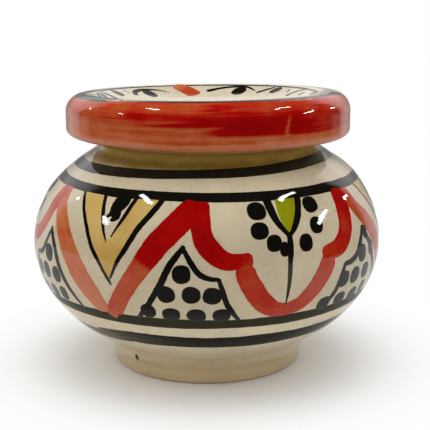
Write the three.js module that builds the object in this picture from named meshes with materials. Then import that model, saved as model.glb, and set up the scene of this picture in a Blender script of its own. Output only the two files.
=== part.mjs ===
// Ashtray: a thrown earthenware bowl on a turned foot, covered by a loose dished lid.
// Ash drops through the hole in the middle of the lid, and the lid lifts off to empty the bowl.
// Sizes are in millimetres. The origin is the middle of the foot's underside, and +Z is up.
import * as THREE from "three";

// Foot of the bowl
const FOOT_RADIUS = 32.9;
const FOOT_TOP_RADIUS = 34.2;
const FOOT_HEIGHT = 8.8;
const FOOT_EDGE_ROUND = 1.8;
const FOOT_RING_WIDTH = 7;
const FOOT_RECESS_DEPTH = 3.5;
const FOOT_RECESS_DRAFT = 1.5;
const FOOT_RECESS_ROUND = 1.2;

// Belly of the bowl: its widest ring, its slopes at foot and shoulder, and how full the curve stays
// below and above the widest ring, from 0, hollow, to 1, upright
const BELLY_RADIUS = 60;
const BELLY_HEIGHT = 43;
const BELLY_FULL_BELOW = 0.56;
const BELLY_FULL_ABOVE = 0.65;
const BELLY_TAKE_OFF = 4;
const BELLY_TAKE_OFF_SLOPE = 24;
const SHOULDER_LENGTH = 10;
const SHOULDER_SLOPE = 38;

// Walls and mouth of the bowl
const BOWL_WALL = 5.5;
const BOWL_FLOOR = 5.5;
const MOUTH_RADIUS = 32.2;
const MOUTH_WALL = 4.4;
const MOUTH_HEIGHT = 78.2;
const MOUTH_EDGE_ROUND = 1;

// Lid: a thick rolled rim round a dish that slopes to the ash hole
const LID_RADIUS = 48.5;
const LID_HEIGHT = 15.8;
const LID_TOP_ROUND = 5.6;
const LID_FOOT_ROUND = 4;
const LID_WALL = 6;
const CREST_FLAT = 1.9;
const CREST_ROUND = 4;
const DISH_SLOPE = 27;
const DISH_STEEP_WIDTH = 11;
const DISH_FLAT_SLOPE = 14;
const DISH_ROUND = 30;
const HOLE_RADIUS = 13;
const HOLE_EDGE_ROUND = 1.8;

// The lid's flange drops into the mouth and keeps the lid from sliding off
const FLANGE_CLEARANCE = 0.8;
const FLANGE_WALL = 4.2;
const FLANGE_DEPTH = 8;
const FLANGE_EDGE_ROUND = 1.3;
const FLANGE_ROOT_ROUND = 1.5;
const SEAT_GAP = 0.3;

// Fineness of the curves
const TURN_STEPS = 64;
const OUTSIDE_STEPS = 10;
const INSIDE_STEPS = 7;
const ROUND_STEP = THREE.MathUtils.degToRad(24);

const point = (radius, height) => new THREE.Vector2(radius, height);

const direction = (degrees) => {
  const angle = THREE.MathUtils.degToRad(degrees);
  return point(Math.cos(angle), Math.sin(angle));
};

// The arc that rounds a corner of a profile, tangent to the two straight sides that meet there.
function roundedCorner(before, corner, after, radius) {
  const back = before.clone().sub(corner).normalize();
  const on = after.clone().sub(corner).normalize();
  const turn = Math.PI - back.angleTo(on);
  const reach = radius * Math.tan(turn / 2);
  const start = corner.clone().addScaledVector(back, reach);
  const middle = back.clone().add(on).normalize();
  const centre = corner.clone().addScaledVector(middle, radius / Math.cos(turn / 2));
  const side = Math.sign(back.cross(on));
  const steps = Math.max(2, Math.ceil(turn / ROUND_STEP));
  const arc = [];
  for (let step = 0; step <= steps; step += 1) {
    arc.push(start.clone().rotateAround(centre, (-side * turn * step) / steps));
  }
  return arc;
}

// A profile of straight sides, given as [corner, radius] pairs; a radius of 0 keeps the corner sharp.
function roundedProfile(corners, closed) {
  const profile = [];
  corners.forEach(([corner, radius], index) => {
    const isEnd = !closed && (index === 0 || index === corners.length - 1);
    if (isEnd || radius === 0) {
      profile.push(corner);
      return;
    }
    const [before] = corners[(index + corners.length - 1) % corners.length];
    const [after] = corners[(index + 1) % corners.length];
    profile.push(...roundedCorner(before, corner, after, radius));
  });
  return profile;
}

// Turns a profile of (radius, height) points into a solid of revolution about +Z.
function turned(name, profile, material) {
  const geometry = new THREE.LatheGeometry(profile, TURN_STEPS);
  geometry.rotateX(Math.PI / 2);
  const mesh = new THREE.Mesh(geometry, material);
  mesh.name = name;
  return mesh;
}

// The belly from the foot to its widest ring, moved inwards by inset.
function lowerBelly(inset) {
  const outward = direction(BELLY_TAKE_OFF_SLOPE);
  const inward = direction(BELLY_TAKE_OFF_SLOPE + 90);
  const start = point(FOOT_TOP_RADIUS, FOOT_HEIGHT).addScaledVector(inward, inset);
  const widest = point(BELLY_RADIUS - inset, BELLY_HEIGHT);
  return new THREE.CubicBezierCurve(
    start,
    start.clone().addScaledVector(outward, BELLY_TAKE_OFF),
    point(widest.x, BELLY_HEIGHT - BELLY_FULL_BELOW * (BELLY_HEIGHT - start.y)),
    widest,
  );
}

// The belly from its widest ring over the shoulder to a ring of endRadius, moved inwards by inset.
function upperBelly(inset, endRadius) {
  const outward = direction(-SHOULDER_SLOPE);
  const neck = point(MOUTH_RADIUS + MOUTH_WALL, MOUTH_HEIGHT - MOUTH_EDGE_ROUND);
  const rise = -outward.y / outward.x;
  const end = point(endRadius, neck.y + (neck.x - endRadius) * rise - inset / outward.x);
  const widest = point(BELLY_RADIUS - inset, BELLY_HEIGHT);
  return new THREE.CubicBezierCurve(
    widest,
    point(widest.x, BELLY_HEIGHT + BELLY_FULL_ABOVE * (end.y - BELLY_HEIGHT)),
    end.clone().addScaledVector(outward, SHOULDER_LENGTH),
    end,
  );
}

function bowl() {
  const recessRadius = FOOT_RADIUS - FOOT_RING_WIDTH;
  const foot = roundedProfile([
    [point(0, FOOT_RECESS_DEPTH), 0],
    [point(recessRadius - FOOT_RECESS_DRAFT, FOOT_RECESS_DEPTH), FOOT_RECESS_ROUND],
    [point(recessRadius, 0), 0],
    [point(FOOT_RADIUS, 0), FOOT_EDGE_ROUND],
    [point(FOOT_TOP_RADIUS, FOOT_HEIGHT), 0],
  ]);

  const lowerOutside = lowerBelly(0);
  const upperOutside = upperBelly(0, MOUTH_RADIUS + MOUTH_WALL);
  const upperInside = upperBelly(BOWL_WALL, MOUTH_RADIUS);
  const lowerInside = lowerBelly(BOWL_WALL);
  const mouth = roundedProfile([
    [upperOutside.v3, 0],
    [point(MOUTH_RADIUS + MOUTH_WALL, MOUTH_HEIGHT), MOUTH_EDGE_ROUND],
    [point(MOUTH_RADIUS, MOUTH_HEIGHT), MOUTH_EDGE_ROUND],
    [upperInside.v3, 0],
  ]);

  const floorEdge = lowerInside.v0;
  const floorHeight = FOOT_RECESS_DEPTH + BOWL_FLOOR;
  const floorSlope = Math.tan(THREE.MathUtils.degToRad(BELLY_TAKE_OFF_SLOPE));
  const floor = new THREE.QuadraticBezierCurve(
    floorEdge,
    point(floorEdge.x - (floorEdge.y - floorHeight) / floorSlope, floorHeight),
    point(0, floorHeight),
  );

  const profile = [
    ...foot,
    ...lowerOutside.getPoints(OUTSIDE_STEPS).slice(1),
    ...upperOutside.getPoints(OUTSIDE_STEPS).slice(1, -1),
    ...mouth.slice(1),
    ...upperInside.getPoints(INSIDE_STEPS).reverse().slice(1),
    ...lowerInside.getPoints(INSIDE_STEPS).reverse().slice(1),
    ...floor.getPoints(INSIDE_STEPS).slice(1),
  ];
  const glaze = new THREE.MeshStandardMaterial({ color: 0xd0c5ae, roughness: 0.18, metalness: 0 });
  return turned("bowl", profile, glaze);
}

// The lid's own origin is on its seat, the ring that rests on the bowl's mouth.
function lid() {
  const crestRadius = LID_RADIUS - LID_TOP_ROUND - CREST_FLAT;
  const knee = point(crestRadius, LID_HEIGHT);
  knee.addScaledVector(direction(180 + DISH_SLOPE), DISH_STEEP_WIDTH);
  const flatFall = Math.tan(THREE.MathUtils.degToRad(DISH_FLAT_SLOPE));
  const dishHeight = (radius) => knee.y - (knee.x - radius) * flatFall;
  const flangeRadius = MOUTH_RADIUS - FLANGE_CLEARANCE;
  const flangeInside = flangeRadius - FLANGE_WALL;

  const profile = roundedProfile([
    [point(flangeRadius, 0), 0],
    [point(LID_RADIUS, 0), LID_FOOT_ROUND],
    [point(LID_RADIUS, LID_HEIGHT), LID_TOP_ROUND],
    [point(crestRadius, LID_HEIGHT), CREST_ROUND],
    [knee, DISH_ROUND],
    [point(HOLE_RADIUS, dishHeight(HOLE_RADIUS)), HOLE_EDGE_ROUND],
    [point(HOLE_RADIUS, dishHeight(HOLE_RADIUS) - LID_WALL), HOLE_EDGE_ROUND],
    [point(flangeInside, dishHeight(flangeInside) - LID_WALL), FLANGE_ROOT_ROUND],
    [point(flangeInside, -FLANGE_DEPTH), FLANGE_EDGE_ROUND],
    [point(flangeRadius, -FLANGE_DEPTH), FLANGE_EDGE_ROUND],
  ], true);
  profile.push(profile[0].clone());

  const glaze = new THREE.MeshStandardMaterial({ color: 0xb5301f, roughness: 0.2, metalness: 0 });
  const mesh = turned("lid", profile, glaze);
  mesh.position.z = MOUTH_HEIGHT + SEAT_GAP;
  return mesh;
}

const ashtray = new THREE.Group();
ashtray.add(bowl(), lid());

export default ashtray;
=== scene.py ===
"""Dresses the covered ashtray: crazed cream glaze, brush-painted ornament, studio light and camera.

Lengths are in millimetres until a mesh is made. Angles on the pot are in degrees from its front,
which faces -Y, and grow to the right.
"""

import bisect
import math

import bmesh
import bpy
from mathutils import Matrix, Vector, noise


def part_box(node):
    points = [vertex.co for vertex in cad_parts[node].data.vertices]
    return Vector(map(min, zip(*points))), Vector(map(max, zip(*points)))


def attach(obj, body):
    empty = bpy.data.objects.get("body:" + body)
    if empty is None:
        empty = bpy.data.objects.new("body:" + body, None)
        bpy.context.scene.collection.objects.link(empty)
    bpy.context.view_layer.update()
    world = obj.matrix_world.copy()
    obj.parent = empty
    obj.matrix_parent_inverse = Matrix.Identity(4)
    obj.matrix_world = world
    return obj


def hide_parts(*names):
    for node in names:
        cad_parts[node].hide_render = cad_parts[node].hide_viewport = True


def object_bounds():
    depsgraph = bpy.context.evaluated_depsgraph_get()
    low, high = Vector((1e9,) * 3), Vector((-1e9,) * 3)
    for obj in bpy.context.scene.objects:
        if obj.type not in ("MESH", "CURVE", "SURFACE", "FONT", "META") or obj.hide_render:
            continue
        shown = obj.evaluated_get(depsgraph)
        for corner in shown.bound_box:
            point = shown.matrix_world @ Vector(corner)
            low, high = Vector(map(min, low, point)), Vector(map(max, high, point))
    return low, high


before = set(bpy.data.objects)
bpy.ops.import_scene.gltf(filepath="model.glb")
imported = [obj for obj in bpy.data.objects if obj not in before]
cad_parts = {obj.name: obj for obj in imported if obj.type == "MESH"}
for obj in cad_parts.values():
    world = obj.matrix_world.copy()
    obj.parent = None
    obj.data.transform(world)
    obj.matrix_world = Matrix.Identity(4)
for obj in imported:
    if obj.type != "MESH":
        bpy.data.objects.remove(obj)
CAD_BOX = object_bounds()
MM = 0.001

# Outline of the bowl
BOWL_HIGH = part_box("bowl")[1]
BELLY_RADIUS = BOWL_HIGH.x / MM
MOUTH_HEIGHT = BOWL_HIGH.z / MM
BELLY_HEIGHT = 43
BELLY_FULL_BELOW = 0.56
BELLY_FULL_ABOVE = 0.65
BELLY_TAKE_OFF = 4
BELLY_TAKE_OFF_SLOPE = math.radians(24)
SHOULDER_LENGTH = 10
SHOULDER_SLOPE = math.radians(38)
FOOT_RADIUS = 32.9
FOOT_TOP_RADIUS = 34.2
FOOT_HEIGHT = 8.8
FOOT_EDGE_ROUND = 1.8
FOOT_RING_WIDTH = 7
FOOT_RECESS_DEPTH = 3.5
FOOT_RECESS_DRAFT = 1.5
FOOT_RECESS_ROUND = 1.2
BOWL_WALL = 5.5
BOWL_FLOOR = 5.5
MOUTH_RADIUS = 32.2
MOUTH_WALL = 4.4
MOUTH_EDGE_ROUND = 1
NECK_RADIUS = MOUTH_RADIUS + MOUTH_WALL

# Outline of the lid
LID_LOW, LID_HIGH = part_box("lid")
LID_RADIUS = LID_HIGH.x / MM
LID_TOP = LID_HIGH.z / MM
FLANGE_FOOT = LID_LOW.z / MM
SEAT_GAP = 0.3
SEAT_HEIGHT = MOUTH_HEIGHT + SEAT_GAP
LID_TOP_ROUND = 6.2
LID_FOOT_ROUND = 2.4
LID_WALL = 6
CREST_WIDTH = 7.5
CREST_RADIUS = LID_RADIUS - CREST_WIDTH
CREST_ROUND = 4
DISH_SLOPE = math.radians(27)
DISH_STEEP_WIDTH = 11
DISH_FLAT_SLOPE = math.radians(14)
DISH_ROUND = 30
HOLE_RADIUS = 13
HOLE_EDGE_ROUND = 1.8
FLANGE_RADIUS = 31.4
FLANGE_WALL = 4.2
FLANGE_EDGE_ROUND = 1.3
FLANGE_ROOT_ROUND = 1.5

# Fineness of the meshes
TURNS = 240
CURVE_STEPS = 48
ROUND_STEP = math.radians(7)
BOWL_STEP = 1.2
LID_STEP = 1.0
ON_AXIS = 1e-6
LINE_STEP = 0.4
STROKE_STEP = 0.8
STROKE_COLUMN = 1.4
RIM_COLUMN = 0.6
CAP_ROWS = 5
EDGE_COLUMNS = (0, 0.12, 0.4)
DAB_RINGS = (0.3, 0.6, 0.8, 0.92, 1)
DAB_SPOKES = 24
NORMAL_STEP = 0.3
NO_LENGTH = 1e-9

# What the potter's hand left off true on the bowl: how far in millimetres, and the heights between which
# it sets in or fades
OVAL = 0.2
OVAL_TURN = 1.4
BELLY_ASIDE = 0.06
THROWING_RING = 0.012
THROWING_RINGS_PER_MM = 1.9
THROWING_RING_TILT = 0.8
BELLY_SETS_IN = (12, 32)
BELLY_FADES = (60, 73)
SHOULDER_ASIDE = 0.8
SHOULDER_SETS_IN = (60, 70)
SIDES_FLATTER = 0.68
LEFT_FLATTER = 0.22
SIDES_SET_IN = (46, 60)
NECK_PINCH = 0.5
NECK_PINCH_RIGHT = 0.3
LOW_BELLY_FULLER = 0.42
LOW_BELLY_SETS_IN = (10, 19)
LOW_BELLY_FADES = (24, 40)
# How far outside the neck the shoulder and the sides are fully off true, and the pinch fades
SHOULDER_BEYOND_NECK = 4
SIDES_BEYOND_NECK = 3
PINCH_BEYOND_NECK = (6, 12)

# The same on the lid. The heights of its underside are above the seat.
BACK_SAG = 0.68
LEFT_SAG = 0.4
RIM_ASIDE = 0.4
RIM_OVAL = 0.2
RIM_OVAL_TURN = 0.4
UNDERSIDE_UP = 0.45
UNDERSIDE_UP_SIDES = 0.6
UNDERSIDE_FADES = (2, 9)
# How far from the seat, the hole and the flange the lid stays true
SEAT_TRUE = 1
HOLE_TRUE = 4
FLANGE_TRUE = 2

# Paint on the surface: how wide the soft edge of a stroke is and the most of its half width that it takes,
# how deep that edge and the underside lie in the glaze, and how thick each paint is
PAINT_EDGE = 0.45
PAINT_EDGE_MOST = 0.5
PAINT_EDGE_DEPTH = 0.004
PAINT_ROOT_DEPTH = 0.15
RED_THICKNESS = 0.06
OCHRE_THICKNESS = 0.03
GREEN_THICKNESS = 0.035
RING_THICKNESS = 0.05
BLACK_THICKNESS = 0.1

# The ends of strokes, and how unevenly strokes and dabs are edged
CAP_LENGTH = 0.34
CAP_BLUNT = 0.8
CAP_EDGE = 0.05
DAB_BLUNT = 2.3
RAGGED = 0.05
LINE_RAGGED = 0.12
DAB_RAGGED = 0.8
DAB_LOBES = 0.9
LONG_WAVES_PER_MM = 0.3
SHORT_WAVES_PER_MM = 1.1
SHORT_WAVES_SHARE = 0.5

# Coats over a stroke: the degrees in which an end fades, its streaks, the share of its half width that is
# full, and how far before its start the degrees are counted from
COAT_END = 12
COAT_STREAKS = 9
COAT_FULL = 0.55
COAT_LEAD = 90

# Numbers that keep one piece of noise apart from another
STROKE_SEED = 1.7
SIDE_SEED = 5.1
SHORT_WAVES_SEED = 40
COAT_SEED = 2.5


def mix(low, high, share):
    return low + (high - low) * share


def ease(value, low, high):
    """0 below low, 1 above high and a soft step between them."""
    share = min(1, max(0, (value - low) / (high - low)))
    return share * share * (3 - 2 * share)


# Outlines

def curve(controls, steps=CURVE_STEPS):
    """Points on the Bezier curve of those (radius, height) control points."""
    points = []
    for step in range(steps + 1):
        share = step / steps
        row = list(controls)
        while len(row) > 1:
            row = [(mix(a[0], b[0], share), mix(a[1], b[1], share)) for a, b in zip(row, row[1:])]
        points.append(row[0])
    return points


def rounded(corners):
    """An outline of straight sides; each corner is (radius, height, rounding)."""
    points = []
    for index, (radius, height, rounding) in enumerate(corners):
        here = Vector((radius, height))
        if not rounding:
            points.append((radius, height))
            continue
        back = (Vector(corners[index - 1][:2]) - here).normalized()
        onward = (Vector(corners[(index + 1) % len(corners)][:2]) - here).normalized()
        turn = math.pi - back.angle(onward)
        centre = here + (back + onward).normalized() * rounding / math.cos(turn / 2)
        arm = here + back * rounding * math.tan(turn / 2) - centre
        side = -math.copysign(1, back.x * onward.y - back.y * onward.x)
        steps = max(2, math.ceil(turn / ROUND_STEP))
        for step in range(steps + 1):
            angle = side * turn * step / steps
            across = arm.x * math.cos(angle) - arm.y * math.sin(angle)
            up = arm.x * math.sin(angle) + arm.y * math.cos(angle)
            points.append((centre.x + across, centre.y + up))
    return points


def lower_belly(inset):
    """The belly from the foot to its widest ring, moved inwards by inset."""
    out = (math.cos(BELLY_TAKE_OFF_SLOPE), math.sin(BELLY_TAKE_OFF_SLOPE))
    start = (FOOT_TOP_RADIUS - inset * out[1], FOOT_HEIGHT + inset * out[0])
    widest = (BELLY_RADIUS - inset, BELLY_HEIGHT)
    return curve([
        start,
        (start[0] + BELLY_TAKE_OFF * out[0], start[1] + BELLY_TAKE_OFF * out[1]),
        (widest[0], BELLY_HEIGHT - BELLY_FULL_BELOW * (BELLY_HEIGHT - start[1])),
        widest,
    ])


def upper_belly(inset, end_radius):
    """The belly from its widest ring over the shoulder to a ring of end_radius, moved inwards by inset."""
    out = (math.cos(SHOULDER_SLOPE), -math.sin(SHOULDER_SLOPE))
    neck = (NECK_RADIUS, MOUTH_HEIGHT - MOUTH_EDGE_ROUND)
    rise = (neck[0] - end_radius) * math.tan(SHOULDER_SLOPE) - inset / out[0]
    end = (end_radius, neck[1] + rise)
    widest = (BELLY_RADIUS - inset, BELLY_HEIGHT)
    return curve([
        widest,
        (widest[0], BELLY_HEIGHT + BELLY_FULL_ABOVE * (end[1] - BELLY_HEIGHT)),
        (end[0] + SHOULDER_LENGTH * out[0], end[1] + SHOULDER_LENGTH * out[1]),
        end,
    ])


def bowl_outline():
    """The bowl from the middle of its underside over its outside and mouth to the middle of its floor."""
    recess = FOOT_RADIUS - FOOT_RING_WIDTH
    foot = rounded([
        (0, FOOT_RECESS_DEPTH, 0),
        (recess - FOOT_RECESS_DRAFT, FOOT_RECESS_DEPTH, FOOT_RECESS_ROUND),
        (recess, 0, 0),
        (FOOT_RADIUS, 0, FOOT_EDGE_ROUND),
        (FOOT_TOP_RADIUS, FOOT_HEIGHT, 0),
    ])
    outside = lower_belly(0) + upper_belly(0, NECK_RADIUS)[1:]
    upper_inside = upper_belly(BOWL_WALL, MOUTH_RADIUS)
    lower_inside = lower_belly(BOWL_WALL)
    mouth = rounded([
        (*outside[-1], 0),
        (NECK_RADIUS, MOUTH_HEIGHT, MOUTH_EDGE_ROUND),
        (MOUTH_RADIUS, MOUTH_HEIGHT, MOUTH_EDGE_ROUND),
        (*upper_inside[-1], 0),
    ])
    edge = lower_inside[0]
    floor = FOOT_RECESS_DEPTH + BOWL_FLOOR
    reach = (edge[1] - floor) / math.tan(BELLY_TAKE_OFF_SLOPE)
    inside = upper_inside[::-1][1:] + lower_inside[::-1][1:]
    inside += curve([edge, (edge[0] - reach, floor), (0, floor)])[1:]
    return foot + outside[1:-1] + mouth + inside


def lid_outline():
    """The lid from the seat out over the rim and the dish, through the hole and round the flange."""
    fall = math.tan(DISH_FLAT_SLOPE)
    knee_radius = CREST_RADIUS - DISH_STEEP_WIDTH * math.cos(DISH_SLOPE)
    knee_height = LID_TOP - DISH_STEEP_WIDTH * math.sin(DISH_SLOPE)
    hole_top = knee_height - (knee_radius - HOLE_RADIUS) * fall
    flange_inside = FLANGE_RADIUS - FLANGE_WALL
    flange_root = knee_height - (knee_radius - flange_inside) * fall - LID_WALL
    return rounded([
        (FLANGE_RADIUS, SEAT_HEIGHT, 0),
        (LID_RADIUS, SEAT_HEIGHT, LID_FOOT_ROUND),
        (LID_RADIUS, LID_TOP, LID_TOP_ROUND),
        (CREST_RADIUS, LID_TOP, CREST_ROUND),
        (knee_radius, knee_height, DISH_ROUND),
        (HOLE_RADIUS, hole_top, HOLE_EDGE_ROUND),
        (HOLE_RADIUS, hole_top - LID_WALL, HOLE_EDGE_ROUND),
        (flange_inside, flange_root, FLANGE_ROOT_ROUND),
        (flange_inside, FLANGE_FOOT, FLANGE_EDGE_ROUND),
        (FLANGE_RADIUS, FLANGE_FOOT, FLANGE_EDGE_ROUND),
    ])


def finer(outline, longest):
    """The outline with points added on sides longer than that."""
    points = [outline[0]]
    for before, after in zip(outline, outline[1:]):
        parts = max(1, math.ceil(math.dist(before, after) / longest))
        for part in range(1, parts + 1):
            share = part / parts
            points.append((mix(before[0], after[0], share), mix(before[1], after[1], share)))
    return points


# Off true

def bowl_by_hand(angle, radius, height):
    """The radius and height that a point of the true-turned bowl has on the thrown one."""
    side = math.sin(angle)
    beyond_neck = radius - NECK_RADIUS
    belly = ease(height, *BELLY_SETS_IN) * (1 - ease(height, *BELLY_FADES))
    oval = OVAL * math.sin(2 * angle + OVAL_TURN) - BELLY_ASIDE * side
    rings = THROWING_RING * math.sin(THROWING_RINGS_PER_MM * height + THROWING_RING_TILT * side)
    shoulder = ease(height, *SHOULDER_SETS_IN) * ease(beyond_neck, 0, SHOULDER_BEYOND_NECK)
    slack = ease(height, *SIDES_SET_IN) * ease(beyond_neck, 0, SIDES_BEYOND_NECK)
    flatter = (SIDES_FLATTER - LEFT_FLATTER * side) * slack * side ** 4
    neck = slack * (1 - ease(beyond_neck, *PINCH_BEYOND_NECK))
    pinched = (NECK_PINCH + NECK_PINCH_RIGHT * side) * neck * side ** 2
    fuller = LOW_BELLY_FULLER * ease(height, *LOW_BELLY_SETS_IN) * (1 - ease(height, *LOW_BELLY_FADES))
    grown = belly * (oval + rings) + SHOULDER_ASIDE * shoulder * side + fuller
    return radius + grown - flatter - pinched, height


def lid_by_hand(angle, radius, height):
    """The radius and height that a point of the true-turned lid has on the thrown one."""
    side = math.sin(angle)
    rim = ease(radius, FLANGE_RADIUS + FLANGE_TRUE, CREST_RADIUS)
    oval = RIM_ASIDE * side + RIM_OVAL * math.sin(2 * angle + RIM_OVAL_TURN)
    upper = ease(height, SEAT_HEIGHT + SEAT_TRUE, LID_TOP)
    outer = ease(radius, HOLE_RADIUS + HOLE_TRUE, CREST_RADIUS)
    sag = BACK_SAG * (1 - math.cos(angle)) - LEFT_SAG * side
    overhang = ease(radius, NECK_RADIUS + SEAT_TRUE, LID_RADIUS - LID_FOOT_ROUND)
    underside = overhang * (1 - ease(height - SEAT_HEIGHT, *UNDERSIDE_FADES))
    tipped_up = (UNDERSIDE_UP + UNDERSIDE_UP_SIDES * side ** 2) * underside
    return radius + rim * oval, height - upper * outer * sag + tipped_up


# Turned pieces

def on_pot(degrees, radius, height):
    """A point in metres, from its angle, radius and height on the pot."""
    angle = math.radians(degrees)
    return Vector((radius * math.sin(angle), -radius * math.cos(angle), height)) * MM


def mesh_piece(name, points, faces, material):
    """A smooth-shaded object of those points and faces, its faces turned outwards."""
    mesh = bpy.data.meshes.new(name)
    mesh.from_pydata(points, [], faces)
    outwards = bmesh.new()
    outwards.from_mesh(mesh)
    bmesh.ops.recalc_face_normals(outwards, faces=outwards.faces)
    outwards.to_mesh(mesh)
    outwards.free()
    mesh.shade_smooth()
    mesh.materials.append(material)
    piece = bpy.data.objects.new(name, mesh)
    bpy.context.scene.collection.objects.link(piece)
    return piece


def turned_piece(name, outline, by_hand, closed, material):
    """A skin of revolution through the outline; a point on the axis becomes one vertex."""
    points = []
    rows = []
    for radius, height in outline:
        if radius < ON_AXIS:
            rows.append([len(points)] * TURNS)
            points.append(on_pot(0, 0, height))
            continue
        rows.append(list(range(len(points), len(points) + TURNS)))
        for turn in range(TURNS):
            degrees = 360 * turn / TURNS
            points.append(on_pot(degrees, *by_hand(math.radians(degrees), radius, height)))
    faces = []
    after_rows = rows[1:] + rows[:1] if closed else rows[1:]
    for below, above in zip(rows, after_rows):
        for turn in range(TURNS):
            after = (turn + 1) % TURNS
            corners = [below[turn], below[after], above[after], above[turn]]
            faces.append(list(dict.fromkeys(corners)))
    return mesh_piece(name, points, faces, material)


# Brushwork

class Wall:
    """The side of a turned piece that is painted on, measured along its outline from the lower end."""

    def __init__(self, outline, by_hand):
        self.outline = outline
        self.by_hand = by_hand
        self.marks = [0]
        for before, after in zip(outline, outline[1:]):
            self.marks.append(self.marks[-1] + math.dist(before, after))

    def along_to(self, height=None, radius=None):
        """How far along the outline that height comes first, or that radius comes last."""
        column = 1 if radius is None else 0
        value = height if radius is None else radius
        sides = list(zip(self.outline, self.outline[1:], self.marks, self.marks[1:]))
        if radius is not None:
            sides.reverse()
        for before, after, start, end in sides:
            low, high = sorted((before[column], after[column]))
            if low <= value <= high and high > low:
                share = (value - before[column]) / (after[column] - before[column])
                return mix(start, end, share)
        raise ValueError(f"no point of the wall at {value}")

    def at(self, along):
        """Radius, height and outward direction at that distance along the outline."""
        index = min(len(self.marks) - 2, max(0, bisect.bisect_right(self.marks, along) - 1))
        before, after = self.outline[index], self.outline[index + 1]
        side = self.marks[index + 1] - self.marks[index]
        share = (along - self.marks[index]) / side
        step = ((after[0] - before[0]) / side, (after[1] - before[1]) / side)
        return mix(before[0], after[0], share), mix(before[1], after[1], share), step[1], -step[0]

    def degrees_per_mm(self, along):
        return math.degrees(1 / self.at(along)[0])

    def point(self, degrees, along, lift):
        radius, height, out, up = self.at(along)
        radius, height = self.by_hand(math.radians(degrees), radius, height)
        return on_pot(degrees, radius + out * lift, height + up * lift)

    def normal(self, degrees, along):
        """The outward direction of the wall, with what the hand left off true."""
        here = self.point(degrees, along, 0)
        aside = self.point(degrees + NORMAL_STEP, along, 0) - here
        ahead = self.point(degrees, along + NORMAL_STEP, 0) - here
        return aside.cross(ahead).normalized()


def coated(load, coats, degrees, place):
    """The load under those coats: each is (first degrees, last degrees, middle, half width, load)."""
    for first, last, middle, half, coat in coats:
        span = last - first
        soft = min(COAT_END, span / 2)
        streaky = soft * noise.noise(Vector((COAT_STREAKS * place, first, COAT_SEED)))
        around = (degrees - first + streaky + COAT_LEAD) % 360 - COAT_LEAD
        ends = ease(around, 0, soft) * (1 - ease(around, span - soft, span)) if span < 360 else 1
        sides = 1 - ease(abs(place - middle), COAT_FULL * half, half)
        load = mix(load, coat, ends * sides)
    return load


def soft_curve(a, b, c, d, share):
    """The value at that share of the way from b to c, on a smooth curve through all four."""
    bend = (2 * a - 5 * b + 4 * c - d) * share ** 2 + (3 * b - a - 3 * c + d) * share ** 3
    return 0.5 * (2 * b + (c - a) * share + bend)


def stroke_rows(whole, first_width, last_width):
    """Rows along a stroke of that length: (distance from its start, share of its width)."""
    first = min(CAP_LENGTH * first_width, whole / 2)
    last = min(CAP_LENGTH * last_width, whole / 2)
    turns = [math.pi / 2 * (row + 0.5) / (CAP_ROWS + 0.5) for row in range(CAP_ROWS)]
    caps = [(1 - math.cos(turn), math.sin(turn) ** CAP_BLUNT) for turn in turns]
    middle = whole - first - last
    steps = max(1, math.ceil(middle / STROKE_STEP))
    rows = [(first * inwards, share) for inwards, share in caps]
    rows += [(first + middle * step / steps, 1) for step in range(steps + 1)]
    rows += [(whole - last * inwards, share) for inwards, share in reversed(caps)]
    return rows


def stroke_columns(half_width, column):
    """Places across a stroke, from -1 to 1, close together in its soft edges."""
    soft = min(PAINT_EDGE_MOST, PAINT_EDGE / half_width)
    inner = max(2, math.ceil(2 * half_width * (1 - soft) / column))
    edge = [1 - step * soft for step in EDGE_COLUMNS]
    middle = [(1 - soft) * (2 * step / inner - 1) for step in range(inner + 1)]
    return [-place for place in edge] + middle + edge[::-1]


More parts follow.
